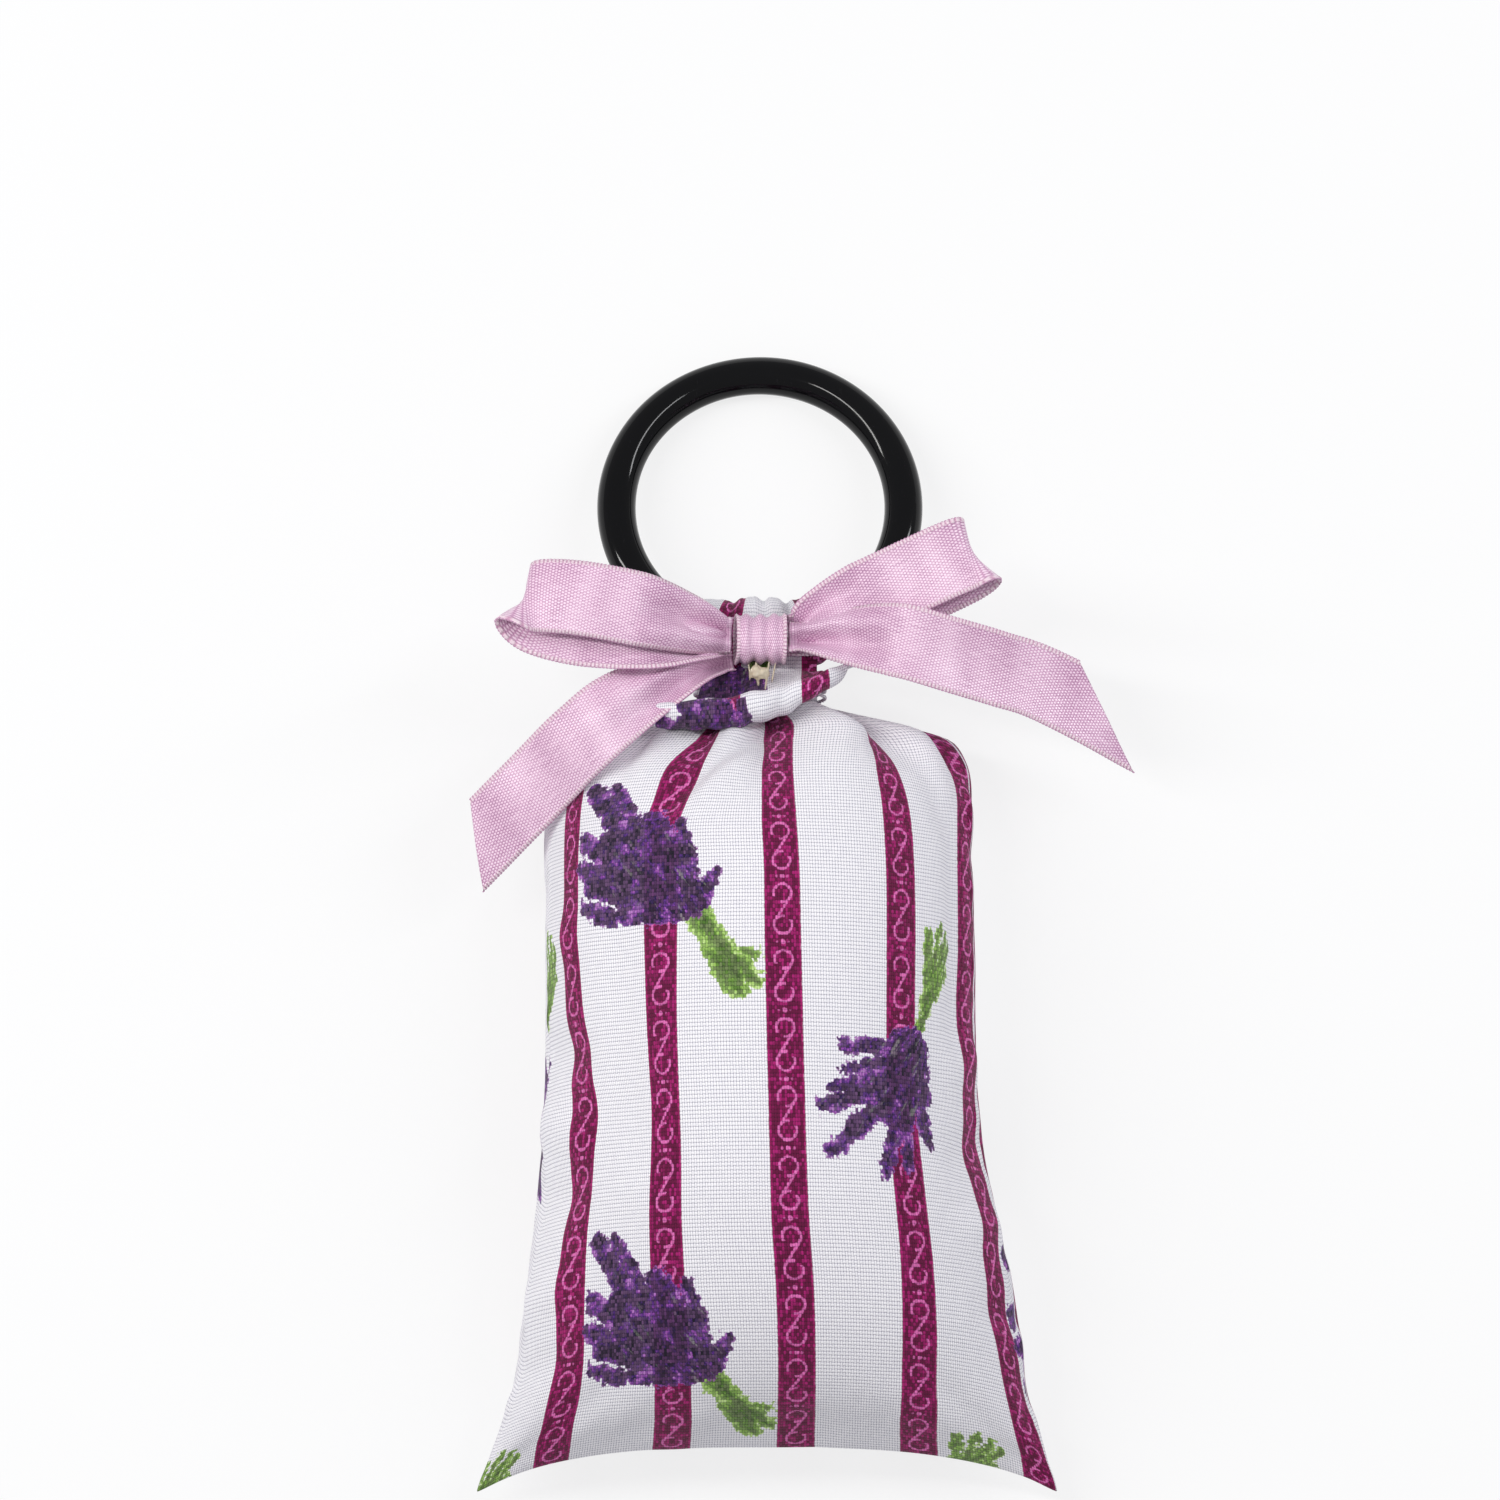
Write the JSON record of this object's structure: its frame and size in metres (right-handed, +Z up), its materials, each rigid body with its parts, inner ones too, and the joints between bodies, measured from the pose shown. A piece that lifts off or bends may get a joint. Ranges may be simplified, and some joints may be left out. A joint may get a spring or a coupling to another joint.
{
  "type": "lavender sachet",
  "caption": "Gathered cotton pouch of dried lavender on a plastic hanging ring, trimmed with a satin ribbon bow.",
  "frame": {"origin": "middle of the flat patch of the back panel that the sachet rests on when it lies on its back", "axes": "+Y from the pouch towards the hanging ring, +Z up from the surface, out of the front panel, +X to the right of a viewer who faces the front with the ring at the top"},
  "size_m": [0.0931, 0.164, 0.038],
  "materials": {
    "printed_cotton": "plain weave cotton, printed",
    "dried_lavender": "loose dried buds",
    "sewing_thread": "spun thread",
    "black_plastic": "gloss",
    "satin_ribbon": "satin",
    "hot_melt_glue": "waxy, slightly clear"
  },
  "bodies": {
    "pouch": {"pouch_front": "printed_cotton", "pouch_back": "printed_cotton", "lavender_filling": "dried_lavender", "side_seam_left": "sewing_thread", "side_seam_right": "sewing_thread", "bottom_seam": "sewing_thread", "neck_gather": "printed_cotton", "neck_tie": "sewing_thread", "mouth_curl": "printed_cotton", "glue_dab": "hot_melt_glue", "bow_knot": "satin_ribbon", "bow_loop_left": "satin_ribbon", "bow_loop_right": "satin_ribbon", "bow_tail_left": "satin_ribbon", "bow_tail_right": "satin_ribbon"},
    "loop": {"hanging_loop": "printed_cotton"},
    "ring": {"hanging_ring": "black_plastic"}
  },
  "joints": [
    {"name": "ring_tilt", "type": "hinge", "parent": "pouch", "child": "loop", "pos_m": [0, 0.067, 0.011], "axis": [1, 0, 0], "range_deg": [-130, 45]},
    {"name": "ring_turn", "type": "hinge", "parent": "loop", "child": "ring", "pos_m": [0, 0.08687, 0.00685], "axis": [0, 0.2044, 0.9789], "continuous": true}
  ]
}
